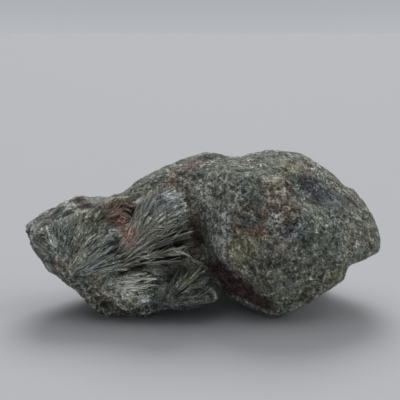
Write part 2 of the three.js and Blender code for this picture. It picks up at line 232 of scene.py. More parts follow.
def stationAt(lobe, x):
    # the spline's row at this x, read off a fine table, because x only grows along the run
    table = spline(lobe["stations"], np.linspace(0, 1, 4000))
    return [np.interp(x, table[:, 0], table[:, k]) for k in range(1, 5)]


def breakOff(points, breaks):
    # beyond each plane a point comes back along its normal by
    # rounding * ln(1 + e^(distance / rounding))
    for at, facing, rounding, fadeIn in breaks:
        normal = unit(np.array(facing))
        beyond = np.logaddexp(0, (points - np.array(at)) @ normal / rounding) * rounding
        if fadeIn:
            beyond = beyond * smooth(fadeIn[0], fadeIn[1], points[..., 0])
        points = points - beyond[..., None] * normal
    return points


def outwardFrom(lobe, points):
    # unit vectors away from the lobe's middle line
    stations = lobe["stations"]
    lineX = np.clip(points[..., 0], stations[1][0] + lineEnd, stations[-2][0] - lineEnd)
    low, high, front, back = stationAt(lobe, lineX)
    away = points - np.stack([lineX, (front + back) / 2, (low + high) / 2], -1)
    return unit(away)


def swellHeight(points):
    # the noise swells plus a bell curve for each swelling
    height = mottle(points, roughness)
    for at, radius, swell in swellings:
        height = height + swell * np.exp(-((points - np.array(at)) ** 2).sum(-1) / radius**2)
    return height


def lobeSurface(lobe, u, v):
    # station at u, section a superellipse: y = middle + half * cos^s(v), z = middle + half * sin^s(v)
    x, low, high, front, back = np.moveaxis(spline(lobe["stations"], u), -1, 0)
    squareness = lobe["squareness"]
    y = (front + back) / 2 + (back - front) / 2 * signedPower(np.cos(v), squareness)
    z = (low + high) / 2 + (high - low) / 2 * signedPower(np.sin(v), squareness)
    points = breakOff(np.stack([x, y, z], -1), lobe["breaks"])
    outward = outwardFrom(lobe, points)
    return points + swellHeight(points)[..., None] * outward, outward


def putDown(name, points, quads, triangles, tones, fibrous=None, uv=None):
    # turns the faces over if the volume they close is negative, and stores at each corner the tone, how
    # fibrous the stone is there, and in the "fibre" map how far it is along and across the fibres in mm
    a, b, c, d = (points[quads[:, k]] for k in range(4))
    volume = (a * np.cross(b, c)).sum() + (a * np.cross(c, d)).sum()
    a, b, c = (points[triangles[:, k]] for k in range(3))
    volume += (a * np.cross(b, c)).sum()
    if volume < 0:
        quads, triangles = quads[:, ::-1], triangles[:, ::-1]
    mesh = bpy.data.meshes.new(name)
    mesh.from_pydata((points - footprintMiddle) * millimetre, [], quads.tolist() + triangles.tolist())
    mesh.polygons.foreach_set("use_smooth", np.ones(len(mesh.polygons), bool))
    tone = mesh.color_attributes.new(name="tone", type="FLOAT_COLOR", domain="POINT")
    opaque = np.concatenate([tones, np.ones((len(tones), 1))], -1)
    tone.data.foreach_set("color", opaque.astype(np.float32).ravel())
    if fibrous is not None:
        share = mesh.attributes.new(name="fibrous", type="FLOAT", domain="POINT")
        share.data.foreach_set("value", fibrous.astype(np.float32).ravel())
    if uv is not None:
        corner = np.empty(len(mesh.loops), int)
        mesh.loops.foreach_get("vertex_index", corner)
        mesh.uv_layers.new(name="fibre").data.foreach_set("uv", uv[corner].astype(np.float32).ravel())
    mesh.validate()
    piece = bpy.data.objects.new(name, mesh)
    bpy.context.collection.objects.link(piece)
    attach(piece, "root")
    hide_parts("seraphinite")
    print(name, 2 * len(quads) + len(triangles), "triangles")
    return piece


def tubeMeshes(name, rings, ends, tones, endTones, fibrous=None, uv=None):
    # closed tubes side by side: rings (tube, along, around, xyz) with one point at either end
    tubes, along, around = rings.shape[:3]
    ringCorners = tubes * along * around
    points = np.concatenate([rings.reshape(-1, 3), ends.reshape(-1, 3)])
    corners = np.concatenate([tones.reshape(-1, 3), endTones.reshape(-1, 3)])
    t, i, j = np.meshgrid(np.arange(tubes), np.arange(along - 1), np.arange(around), indexing="ij")
    first = (t * along + i) * around
    nextJ = (j + 1) % around
    quads = np.stack([first + j, first + nextJ, first + around + nextJ, first + around + j], -1)
    quads = quads.reshape(-1, 4)
    t, j = np.meshgrid(np.arange(tubes), np.arange(around), indexing="ij")
    nextJ = (j + 1) % around
    first, last = t * along * around, ((t + 1) * along - 1) * around
    start, end = ringCorners + 2 * t, ringCorners + 2 * t + 1
    caps = np.concatenate([np.stack([start, first + nextJ, first + j], -1).reshape(-1, 3),
                           np.stack([end, last + j, last + nextJ], -1).reshape(-1, 3)])
    if fibrous is not None:
        fibrous = np.concatenate([fibrous.ravel(), np.full(2 * tubes, fibrous.mean())])
        uv = np.concatenate([uv.reshape(-1, 2), np.repeat(uv[:, :1, 0], 2, 1).reshape(-1, 2)])
    return putDown(name, points, quads, caps, corners, fibrous, uv)


# stone colours, from the pale felt down to the near-black of dark spots, cracks and painted shade in
# hollows and gaps; the palest is painted silvery sheen on the fibres
stoneTones = {name: np.array(tone) for name, tone in {
    "grey": (0.329, 0.318, 0.262),
    "green": (0.258, 0.284, 0.221),
    "olive": (0.338, 0.312, 0.194),
    "teal": (0.211, 0.260, 0.221),
    "pale": (0.488, 0.493, 0.419),
    "ash": (0.64, 0.65, 0.57),
    "paintedSheen": (0.90, 0.92, 0.82),
    "beige": (0.413, 0.372, 0.293),
    "slate": (0.108, 0.107, 0.099),
    "gap": (0.030, 0.029, 0.026),
    "bluish": (0.319, 0.344, 0.347),
    "blue": (0.140, 0.160, 0.168),
    "yellow": (0.55, 0.54, 0.32),
    "tan": (0.441, 0.353, 0.248),
    "salmon": (0.60, 0.40, 0.315),
    "rust": (0.31, 0.18, 0.11),
    "maroon": (0.095, 0.052, 0.042),
}.items()}

# stained places, painted shade and painted light: the ends of a middle line, a radius, a tone and a
# strength
stainsAndPaintedLight = [
    ([2, -8, 36], [13, -9, 36.5], 5.0, "green", 0.6),  # cool top left of the boulder
    # ash up the crevice and along the pale face's edge: the face's own pale colour, and painted light
    # over the crevice's shade
    ([0.5, -10, 30.5], [2, -9.6, 22], 2.9, "ash", 0.85),
    ([3.2, -11.5, 31], [4.5, -12.5, 15], 3.9, "ash", 0.85),
    ([3, -11, 33.5], [9, -13.5, 31], 3.8, "pale", 0.75),  # pale face beside the fans
    ([10, -14, 33.5], [13.6, -14.6, 32], 2.2, "teal", 0.6),
    ([17.5, -13, 35], [19, -16, 31], 3.0, "tan", 0.5),  # tan band
    ([22.1, -17.7, 29.7], [20, -18.5, 27.6], 1.9, "tan", 0.6),
    ([27, -11, 32.2], [34.5, -10.5, 28.6], 4.2, "blue", 0.85),  # blue-grey hollow
    ([24.6, -10.6, 33.8], [26.4, -10.8, 33], 1.4, "gap", 0.7),
    ([27.4, -13.6, 30.2], [29, -12.8, 29.8], 1.3, "gap", 0.6),
    ([26.5, -15, 29.4], [31, -13.2, 28], 0.7, "gap", 0.8),  # its lower edge
    ([31, -13.2, 28], [35.8, -9.3, 27.4], 0.7, "gap", 0.6),
    ([24.2, -9.5, 36.6], [21, -9, 37], 2.2, "yellow", 0.35),
    ([34, -12, 25], [40, -7, 18], 5.0, "green", 0.6),  # right end
    ([23.5, -20.5, 23.5], [25, -20.5, 21.5], 2.6, "teal", 0.7),
    ([20.5, -20.5, 24.5], [21, -20.5, 23.5], 2.0, "blue", 0.5),
    ([34, -15, 16], [39, -12, 16], 2.2, "teal", 0.6),  # over the ledge
    ([7.8, -15.6, 18.4], [11.8, -16.9, 19.4], 2.6, "yellow", 0.5),
    ([8.6, -16, 23.4], [15.4, -18.6, 22.9], 1.3, "tan", 0.85),  # brown crack
    ([9.4, -16, 23.4], [14.4, -18.6, 23.1], 0.6, "rust", 0.8),
    ([8.6, -16, 24.1], [16, -18.6, 23.7], 0.35, "gap", 0.9),
    ([15.2, -17.6, 28.2], [14.2, -18.1, 24.2], 1.1, "rust", 0.5),
    ([9.4, -17, 28.6], [11.4, -17.5, 28.8], 1.7, "beige", 0.8),  # boss and the shade round it
    ([8.2, -16, 27.2], [10.2, -17, 26], 0.7, "slate", 0.4),
    ([10.2, -17, 26], [13.6, -17.5, 26.6], 0.7, "slate", 0.45),
    ([10.8, -17, 25.2], [12.6, -17, 25.4], 0.8, "blue", 0.6),
    ([15, -19, 15], [19, -19, 17], 1.6, "slate", 0.4),
    ([0.6, 3.8, 38.2], [4.6, 5, 38.4], 1.4, "ash", 0.7),
    ([1, 1.2, 37.8], [5, 2.2, 38.2], 2.1, "slate", 1.0),  # knob on the crest
    ([-3, -1, 36.5], [0, -2, 37], 1.6, "salmon", 0.5),
    ([-9, -7, 31.5], [-2, 3, 36], 2.4, "rust", 0.5),  # ribbon up the ridge
    ([-11, -9, 30.5], [-9, -9, 31.5], 1.8, "salmon", 0.7),
    ([-11, -15.6, 28.6], [-6.5, -14.7, 29.4], 3.4, "bluish", 0.75),  # rounded top of the great fan
    ([-1.5, -9, 24], [-0.8, -7.5, 18], 1.8, "maroon", 0.8),  # inside the crevice
    ([4.4, -9, 11], [9, -11, 7], 3.5, "maroon", 0.95),  # red-brown recess
    ([9, -11, 6.6], [14.6, -14, 4.2], 3.8, "maroon", 0.95),
    ([8.5, -9.5, 4.2], [17.6, -14.2, 1.9], 0.8, "pale", 0.9),  # its lower rim
    ([-19.5, -12.6, 25], [-16.8, -17, 21.8], 2.1, "salmon", 0.95),  # red hollow among the fans
    ([-22.4, -12, 24.9], [-20, -13.6, 24.2], 1.4, "rust", 0.85),
    ([-24, -10, 28.5], [-18, -12, 28], 2.2, "rust", 0.55),  # fibres above it
    ([-34, -5, 26], [-30, -6, 26.2], 2.6, "ash", 0.9),  # pale smooth patch
    ([-37.4, -9.4, 23.2], [-35.2, -5.6, 25], 1.6, "gap", 0.95),  # painted shade of a dent beside it
    ([-30, -3, 27.1], [-25, -5, 26.8], 2.0, "maroon", 0.9),
    ([-29, -3.4, 27.1], [-26.4, -4.6, 26.8], 1.3, "gap", 0.85),  # painted shade deepening the notch on top
    ([-41, -10, 21], [-39, -10, 23], 2.4, "pale", 0.4),  # left end
    # painted shade of a shadowy recess at the left end
    ([-38.4, -9.5, 23], [-36.6, -12.6, 22], 1.2, "slate", 0.85),
    ([-35.2, -11, 23.4], [-34, -14.4, 21.4], 0.6, "slate", 0.6),  # dark stripes
    ([-33, -11.5, 23.6], [-32, -14.4, 21.6], 0.5, "slate", 0.5),
    ([-30.6, -12, 23.8], [-29.6, -14.4, 21.6], 0.5, "slate", 0.45),
    ([-35.8, -14, 22], [-35, -14.6, 19.5], 1.4, "ash", 0.85),
    ([-40, -10, 17], [-25, -13, 5], 3.8, "beige", 0.4),  # pitted band under the left tip
    ([-34.6, -13, 14.8], [-31.5, -14.5, 13], 0.9, "rust", 0.7),
    ([-20, -16, 5.2], [-17.6, -16.5, 5], 1.2, "gap", 0.7),
    ([-22.8, -13.6, 21.8], [-20, -17.5, 18], 2.4, "bluish", 0.6),
    ([-28, -16, 17.5], [-24, -17, 16.5], 2.2, "blue", 0.35),
    ([-21, -17, 11], [-18.5, -17, 9], 2.0, "pale", 0.45),
    ([-26.2, -17, 13.5], [-22, -18, 16.5], 3.0, "bluish", 0.5),
    ([-27.5, -14, 20.5], [-23.5, -13.5, 22.5], 2.8, "ash", 0.7),
    ([-31, -10, 25], [-29, -13, 19], 3.2, "green", 0.7),
    ([-18, -17.5, 6], [-14.3, -18.4, 7.5], 2.6, "pale", 0.4),
    ([-12.4, -17, 4.4], [-9, -17, 4.4], 1.6, "bluish", 0.6),  # smooth nodule
    ([-18.6, -16.3, 12.4], [-12.4, -16.6, 14.6], 0.75, "gap", 1.0),  # painted shade in the gap under the great fan
    ([-14.3, -16.2, 14.6], [-3.5, -16.7, 16.2], 1.1, "gap", 0.95),
    ([-8.6, -20, 19.9], [-3.5, -18.4, 21.4], 2.2, "gap", 0.8),  # painted shade between the lower ends of the great fan
    ([-9, -17, 10], [-5, -17, 13.5], 2.4, "slate", 0.6),  # dark green beside the blades
    ([-16, -18.6, 11.8], [-9.5, -18.6, 13.2], 2.2, "ash", 0.95),  # silvery blades: their pale tone and painted sheen
    ([-9.4, -18, 9.2], [-8, -18, 9.8], 1.2, "pale", 0.8),
    ([-9, -17, 7], [3, -15, 8], 5.0, "slate", 0.4),  # moss-green foot
    ([-9, -17, 7], [3, -15, 8], 5.0, "teal", 0.3),
    ([5, 20, 30], [-6, 19, 20], 5.0, "rust", 0.35),  # stain on the back
    ([30, 18, 12], [38, 12, 18], 5.0, "blue", 0.5),
    ([24, 10, 38], [34, 8, 33], 4.0, "olive", 0.5),
    ([-34, 4, 16], [-28, 8, 10], 4.0, "beige", 0.5),
]

# what the grey stone is mixed with: a tone, its share, the noise between whose values it comes in
mixture = [
    ("green", 1.0, (-0.5, 0.5), 8, 20),
    ("olive", 0.65, (-0.1, 0.7), 4.5, 70),
    ("teal", 0.45, (0.1, 0.8), 5.2, 130),
    ("beige", 0.5, (0.1, 0.8), 3.1, 15),
]
patches = [(6.5, 0.17, 95), (2.8, 0.17, 35)]  # lighter and darker places: size, strength, offset
markEdge = [(2.6, 0.35, 30), (1.1, 0.25, 40)]  # how ragged a stain, painted shade or painted light ends, in shares of its radius
bluishTip = {"from": -24, "to": -34, "ragged": [(4, 3, 66)], "share": 0.35}  # comes in between these x


def paint(points):
    # the mixture, bluish at the left tip, in lighter and darker patches, then each stain, painted shade
    # and painted light out to a ragged edge
    tone = stoneTones["grey"]
    for name, most, (low, high), size, offset in mixture:
        cover = most * smooth(low, high, noise(points, size, offset))
        tone = blend(tone, stoneTones[name], cover[..., None])
    x = points[..., 0] + mottle(points, bluishTip["ragged"])
    tip = smooth(bluishTip["from"], bluishTip["to"], x)
    tone = blend(tone, stoneTones["bluish"], bluishTip["share"] * tip[..., None])
    tone = tone * (1 + mottle(points, patches))[..., None]
    ragged = mottle(points, markEdge)
    for start, end, radius, name, strength in stainsAndPaintedLight:
        cover = strength * smooth(1.4, 0.5, offLine(points, start, end) / radius + ragged)
        tone = blend(tone, stoneTones[name], cover[..., None])
    return tone


# grains of the solid rock. Each list has size, height, and the seed or offset of the noise. The values
# ending in Tone are how much each changes the tone
grain = {
    "facets": [(7.5, 0.22, 3), (3.4, 0.18, 11)],
    "threads": [(1.6, 0.09, 10), (1.2, 0.08, 25), (0.9, 0.07, 48)],
    "lumps": [(1.7, 0.09, 5), (0.95, 0.06, 65)],
    "pits": [(0.9, 0.15, 60), (1.3, 0.20, 81)],
    "groove": 0.3,  # depth of the groove round a facet, in facet heights
    "threadHalf": 0.2, "pitFrom": 0.42, "pitTo": 0.75,  # values of the noise
    "wander": 0.5, "wanderSize": 2.2,  # how far the noises are pushed about
    "facetTone": 0.16, "grooveTone": 0.25, "threadTone": (0.86, 1.22), "lumpTone": 0.14, "pitTone": 0.45,
}


def grainRelief(points):
    # tilted facets with a groove at their edges, bell-shaped threads where a noise crosses zero, lumps,
    # and pits where another noise is high. Gives the height and what to multiply the tone by
    wander = np.stack([noise(points, grain["wanderSize"], offset) for offset in (33, 44, 55)], -1)
    wander = grain["wander"] * wander
    height = np.zeros(points.shape[:-1])
    shade = np.ones(points.shape[:-1])
    for size, swell, seed in grain["facets"]:
        tilt, value, edge = chips(points + wander, size, seed)
        height = height + swell * (tilt - grain["groove"] * smooth(0.1, 0, edge))
        shade = shade * (1 + grain["facetTone"] * (value - 0.5))
        shade = shade * (1 - grain["grooveTone"] * smooth(0.08, 0, edge))
    for size, swell, offset in grain["threads"]:
        thread = np.exp(-((noise(points + wander, size, offset) / grain["threadHalf"]) ** 2))
        height = height + swell * thread
        shade = shade * blend(*grain["threadTone"], thread)
    for size, swell, offset in grain["lumps"]:
        lump = noise(points, size, offset)
        height = height + swell * lump
        shade = shade * (1 + grain["lumpTone"] * lump)
    for size, swell, offset in grain["pits"]:
        pit = smooth(grain["pitFrom"], grain["pitTo"], noise(points + 0.7 * wander, size, offset))
        height = height - swell * pit
        shade = shade * (1 - grain["pitTone"] * pit)
    return height, shade


# fibres of the left lobe between its fans: they fan out from a root at [x, z] and die out below a line,
# where the rock is pitted. Strands are (width, length, height, seed), patches are sheaves that have come
# loose and turned, mottle and wander are (size, strength, offset), and gaps are the ends of a line, a
# radius and a depth
bed = {
    "root": [-36, 4], "arc": 18,  # millimetres across the fibres in a radian
    "slant": 0.8,  # how much they shift sideways as the surface goes back
    "wander": [(5, 1.2, 17), (2, 0.5, 27)],
    "line": [[-44, 23], [-38, 17.5], [-34, 14], [-25, 8.6], [-12, 4.6], [0, 2]],
    "strands": [(2.0, 6, 0.30, 4), (0.95, 4, 0.26, 9), (0.45, 3, 0.16, 14)],
    "patch": 2.6, "patchHeight": 0.30, "seam": 0.15,
    "turn": 1.0, "turnEvery": 3,
    "strandTone": 0.36, "mottle": [(0.8, 0.3, 51), (1.5, 0.2, 53)],
    "rockGrain": 1.8, "rockTone": 1.8,  # how much stronger the grains are where it isn't fibrous
    "fibreGrain": 0.25, "fibreTone": 0.5,  # and how much weaker where it is
    "hairy": 0.7,  # how fibrous the finish gets
    "gaps": [
        ([-19.4, -16.3, 12.6], [-14.3, -16.2, 14.3], 0.6, 1.4),
        ([-14.3, -16.2, 14.6], [-3.5, -16.7, 16.2], 0.9, 2.2),
    ],
}
sheafTone = {"byChance": 0.5, "seam": 0.35}  # how much sheaves differ, and how dark their seams are


def toneOfSheaf(value, edge, seamWidth):
    # each sheaf is lighter or darker by chance, and dark where it meets the next
    chance = 1 + sheafTone["byChance"] * (value - 0.5)
    return chance * (1 - sheafTone["seam"] * smooth(seamWidth, 0, edge))


def bedRelief(points):
    # noise across the fibres by their angle at the root, and along them by distance from it. Gives the
    # height, what to multiply the tone by, how fibrous the stone is and the fibre map
    away = points[..., [0, 2]] - np.array(bed["root"])
    across = bed["arc"] * np.arctan2(away[..., 1], away[..., 0])
    across = across + bed["slant"] * points[..., 1] + mottle(points, bed["wander"])
    along = np.linalg.norm(away, axis=-1)
    sheaf = np.stack([along / 2, across, points[..., 1]], -1)
    tilt, value, edge = chips(sheaf, bed["patch"], 21)
    every = bed["turnEvery"]
    across = across + bed["turn"] * (value - 0.5) * (along - every * np.round(along / every))
    height = bed["patchHeight"] * (tilt + value - 0.5) - bed["seam"] * smooth(0.12, 0, edge)
    shade = toneOfSheaf(value, edge, 0.1)
    for width, length, swell, seed in bed["strands"]:
        strand = streak(across / width, along / length, seed)
        height = height + swell * strand
        shade = shade * (1 + bed["strandTone"] * strand)
    shade = shade * (1 + mottle(points, bed["mottle"]))
    lineZ = np.interp(points[..., 0], *np.array(bed["line"]).T)
    fibrous = smooth(-1, 2, points[..., 2] - lineZ + noise(points, 3, 8))
    return height, shade, fibrous, np.stack([along, across], -1)


def gapDepth(points):
    # a bell curve across each gap
    return sum(deep * np.exp(-((offLine(points, start, end) / radius) ** 2))
               for start, end, radius, deep in bed["gaps"])


def lobePiece(name, lobe, fibres=False):
    u, v = np.meshgrid(np.linspace(0, 1, lobe["along"] + 2)[1:-1],
                       np.arange(lobe["around"]) / lobe["around"] * 2 * np.pi, indexing="ij")
    points, outward = lobeSurface(lobe, u, v)
    height, shade = grainRelief(points)
    fibrous = fibreMap = None
    if fibres:
        bedHeight, bedShade, fibrous, fibreMap = bedRelief(points)
        height = blend(bed["rockGrain"] * height, bedHeight + bed["fibreGrain"] * height, fibrous)
        height = height - gapDepth(points)
        shade = blend(shade ** bed["rockTone"], bedShade * shade ** bed["fibreTone"], fibrous)
        fibrous, fibreMap = bed["hairy"] * fibrous[None], fibreMap[None]
    tone = paint(points) * shade[..., None]
    points = points + height[..., None] * outward
    points[..., 2] = np.maximum(points[..., 2], 0)
    ends = np.stack([points[0].mean(0), points[-1].mean(0)])
    return tubeMeshes(name, points[None], ends, tone[None], tone[[0, -1], 0], fibrous, fibreMap)


boulderPiece = lobePiece("boulder", boulder)
fibrousPieces = [lobePiece("featherLobe", featherLobe, True), lobePiece("mossLobe", mossLobe, True)]

# A fan spreads over a lobe's front (side -1) or back (side 1) from a root at [x, z]. Its fibres leave
# at angles between two limits, reach so far from the first angle to the last, and bend on the way.
# What has two values goes from the first angle to the last: bend, droop of the tips, ridge, ragged,
# lightness, felt (its share between the fibres), strands (how far they part) and shine (how much
# painted silvery sheen they get). Grooves are (across, half width, depth, start). Blades are how many,
# between which shares of the width, and how far out the farthest ends. Sheaves are stretches of fibres
# that have turned aside by up to half of turn, and stand higher or lower by up to half of sheaf. The
# usual fan has what most of them share.
usualFan = {
    "lobe": featherLobe, "side": -1, "sunk": 1, "depth": 5, "turn": 0.7, "sheaf": 0.3,
    "blades": (20, 0.1, 0.9, 1.0), "grooves": [],
}
fans = {
    "greatFan": {
        **usualFan, "root": [-22.5, 12], "angles": [17, 68], "bend": [22, 4],
        "reach": [21.5, 21.9, 22.6, 23.9, 25.2, 23.2, 21], "bundles": 15, "ragged": [0.16, -0.1],
        "sunk": 1.2, "proud": 3.8, "depth": 7, "droop": [0, 2.6], "ridge": [1.5, 0.3],
        "turn": 0.8, "strands": [1.1, 0.35], "felt": [0.15, 0.45],
        "lightness": [0.74, 1.6], "shine": [0.9, 0.25],
        "blades": (60, 0.1, 0.67, 1.0), "splinters": 900, "columns": 500, "rows": 125, "seed": 1,
        "grooves": [
            (0.12, 0.04, 2.4, 0.3), (0.24, 0.026, 2.2, 0.42),
            (0.35, 0.02, 1.8, 0.55), (0.45, 0.015, 1.5, 0.65),
        ],
    },
    "tipFan": {
        **usualFan, "root": [-33.5, 14], "angles": [44, 152], "bend": [-8, -8],
        "reach": [15.5, 14.5, 12.5, 11, 9], "bundles": 14, "ragged": [0.1, 0.1],
        "proud": 1.3, "droop": [1.5, 1.5], "ridge": [0.6, 0.6],
        "turn": 1.1, "sheaf": 0.28, "strands": [0.45, 0.45], "felt": [0.85, 0.85],
        "lightness": [1.25, 1.25], "shine": [0.15, 0.15],
        "blades": (12, 0.1, 0.9, 1.0), "splinters": 110, "columns": 340, "rows": 75, "seed": 2,
    },
    "middleFan": {
        **usualFan, "root": [-33.5, 9.6], "angles": [16, 66], "bend": [10, 10],
        "reach": [19, 19.5, 19.5, 18.5, 17], "bundles": 11, "ragged": [0.14, 0.14],
        "proud": 1.8, "droop": [1.9, 1.9], "ridge": [0.7, 0.6],
        "turn": 1.1, "strands": [0.6, 0.65], "felt": [0.8, 0.65],
        "lightness": [1.4, 1.5], "shine": [0.2, 0.3],
        "blades": (16, 0.1, 0.9, 1.0), "splinters": 130, "columns": 300, "rows": 90, "seed": 3,
    },
    # the silver fan's lightness and shine climb towards its upper edge: painted silvery sheen on its
    # blades
    "silverFan": {
        **usualFan, "root": [-26, 8], "angles": [-30, 30], "bend": [8, 8],
        "reach": [9.5, 13, 17, 18, 16.5], "bundles": 12, "ragged": [0.14, 0.2],
        "proud": 2, "droop": [1.8, 0.2], "ridge": [0.7, 1.1],
        "sheaf": 0.28, "strands": [-0.5, 1.1], "felt": [1.4, 0.1],
        "lightness": [0.7, 3.4], "shine": [-0.8, 2.0],
        "blades": (60, 0.68, 0.94, 1.1), "splinters": 160, "columns": 320, "rows": 90, "seed": 4,
        "grooves": [
            (0.62, 0.015, 1.0, 0.3), (0.8, 0.015, 1.2, 0.3),
        ],
    },
    "mossFan": {
        **usualFan, "lobe": mossLobe, "root": [-9.5, 3.6], "angles": [8, 78], "bend": [14, 14],
        "reach": [12, 14.4, 15.3, 13.5, 10.5], "bundles": 11, "ragged": [0.14, 0.14],
        "proud": 1.3, "droop": [1.4, 1.4], "ridge": [0.6, 0.6],
        "turn": 0.9, "strands": [0.5, 0.5], "felt": [0.5, 0.5],
        "lightness": [1.1, 1.0], "shine": [0.1, 0.4],
        "blades": (10, 0.4, 0.9, 1.0), "splinters": 120, "columns": 260, "rows": 70, "seed": 5,
    },
    "maroonFan": {
        **usualFan, "root": [-26, 24.2], "angles": [6, 54], "bend": [10, 10],
        "reach": [11, 12.5, 13, 11, 8.5], "bundles": 8, "ragged": [0.2, 0.2],
        "proud": 1.2, "droop": [3.0, 3.0], "ridge": [0.8, 0.8],
        "sheaf": 0.28, "strands": [1.0, 1.0], "felt": [0.3, 0.3],
        "lightness": [1.25, 1.25], "shine": [0.1, 0.2],
        "blades": (14, 0.1, 0.9, 1.05), "splinters": 160, "columns": 220, "rows": 70, "seed": 6,
    },
    "backFan": {
        **usualFan, "side": 1, "root": [-11, 12], "angles": [138, 206], "bend": [12, 12],
        "reach": [18, 21, 22, 20, 18], "bundles": 11, "ragged": [0.16, 0.16],
        "proud": 1.5, "depth": 6, "droop": [0.8, 0.8], "ridge": [0.7, 0.7],
        "strands": [0.8, 0.6], "felt": [0.3, 0.3], "lightness": [1, 1], "shine": [0.5, 0.3],
        "splinters": 200, "columns": 260, "rows": 75, "seed": 7,
    },
    "boulderFan": {
        **usualFan, "lobe": boulder, "side": 1, "root": [17, 10], "angles": [92, 158], "bend": [-12, -12],
        "reach": [16, 19, 21, 20, 17], "bundles": 10, "ragged": [0.16, 0.16],
        "proud": 1.3, "depth": 6, "droop": [0.8, 0.8], "ridge": [0.7, 0.7],
        "strands": [0.6, 0.6], "felt": [0.4, 0.4], "lightness": [1, 1], "shine": [0.3, 0.3],
        "blades": (0, 0, 1, 1), "splinters": 140, "columns": 250, "rows": 65, "seed": 8,
    },
}

crestPlace = 0.3  # share of a bundle's width where its ridge stands
rootStart = 0.12  # share of the reach where the sunk root begins
fanEdge = 0.16  # share of the fan's width over which its two edges come up
standBy = 0.75  # share of the reach by which the fibres stand fully proud
droopFrom = 0.7  # share of the reach past which the tips droop
ridgeBelow = 0.6  # share of a ridge's height that lies below the fan's face
ridgeAtRoot = 0.25  # share of a ridge's height that it has at the root
bundleStep = 0.9  # how much bundles differ in height, in ridge heights
grooveShort = 0.6  # how much shorter a bundle is in its grooves, in shares of ragged
strandsPerBundle = 4
sheafShape = {
    "size": 2.4, "atRadius": 16,  # width of a sheaf, at this distance from the root
    "wander": 0.6, "tilt": 1.4, "seam": 0.12,  # seam is the depth of what parts two sheaves
}
strandShape = {
    "steps": [2.2, 5.0],  # how many pieces a strand is broken into
    "climb": 0.34, "round": 0.25, "level": 0.40, "below": 0.28, "short": 1.1,  # heights
    "sway": 0.006, "turn": 0.1,
}
fibreShape = {
    "width": 0.3, "height": 0.11, "length": 2.5,
    "fewest": 8, "octaves": 6,  # fibres across the fan, and how often their number doubles
    "sway": 0.02,
}
fanRelief = {
    "bundleGap": 0.35, "lumps": (1.6, 0.18, 71),  # depth between bundles, and size, height and offset
    "tipFrom": 0.94, "tipFall": 0.4,  # share of the reach past which the very tips round over
}
fanEnds = {  # shares of the reach, and how many fibres end on their own
    "from": 0.6, "longest": 1.01, "strandShort": 0.07, "fibreShort": 0.012, "fibres": 260,
}
grooveShape = {"drift": 0.02, "sway": 0.006, "shallowTips": 0.4}
# tone of the fibres: bundle and mottle differ by chance; climb, round, level, fine and groove are painted
# light and shade along and across the strands
fanTones = {
    "bundle": (0.85, 1.15), "climb": (0.34, 1.34), "round": (0.42, 1.17), "level": 1.1,
    "fine": 0.7, "groove": 0.65, "least": 0.08, "most": 2.2,
    "mottle": [(1.3, 0.35, 21), (0.75, 0.3, 51), (3.7, 0.2, 61)],  # size, strength, offset
    "gap": 0.9, "short": 0.85,  # painted shade: how dark deep gaps are, and how much of that short strands get
    "wall": (0.7, 0.3),  # painted shade on the wall under the tips, from the top down
}
fanPaintedSheen = {  # painted silvery sheen: what makes a fibre shine, and between which sums of it the sheen comes in
    "climb": 0.5, "fine": 0.35, "level": 0.5, "crest": 0.3, "from": 0.35, "to": 0.95, "most": 0.85,
}
fanFelt = (3, 0.8, 8)  # how unevenly felt covers the fibres: size, strength, offset
brightest = np.array([1.0, 1.02, 0.92])  # no stone is paler than this


def unevenEdges(count, least, seed):
    # where count strips part, from 0 to 1, each as wide as chance makes it
    widths = least + random(np.arange(count) + float(seed))
    return np.concatenate([[0], np.cumsum(widths) / widths.sum()])


def stripAt(edges, across):
    # which strip a place is in, and how far across it from 0 to 1
    strip = np.clip(np.searchsorted(edges, across - 1e-6) - 1, 0, len(edges) - 2)
    return strip, np.clip((across - edges[strip]) / (edges[strip + 1] - edges[strip]), 0, 1)


def faceY(lobe, side, x, z):
    # the superellipse solved for y at this x and z, its height softly held below faceHalf
    stations = lobe["stations"]
    x = np.clip(x, stations[1][0] + faceEnd, stations[-2][0] - faceEnd)
    low, high, front, back = stationAt(lobe, x)
    offMiddle = np.abs(z - (low + high) / 2) / ((high - low) / 2)
    rise = offMiddle / (1 + (offMiddle / faceHalf) ** 6) ** (1 / 6)
    out = np.sqrt(1 - rise ** (2 / lobe["squareness"])) ** lobe["squareness"]
    return (front + back) / 2 + side * (back - front) / 2 * out


def partingOf(fan, across):
    # how far the strands part from each other there
    return np.maximum(blend(*fan["strands"], across), 0)


def spreadOf(fan):
    return np.radians(abs(fan["angles"][1] - fan["angles"][0]))


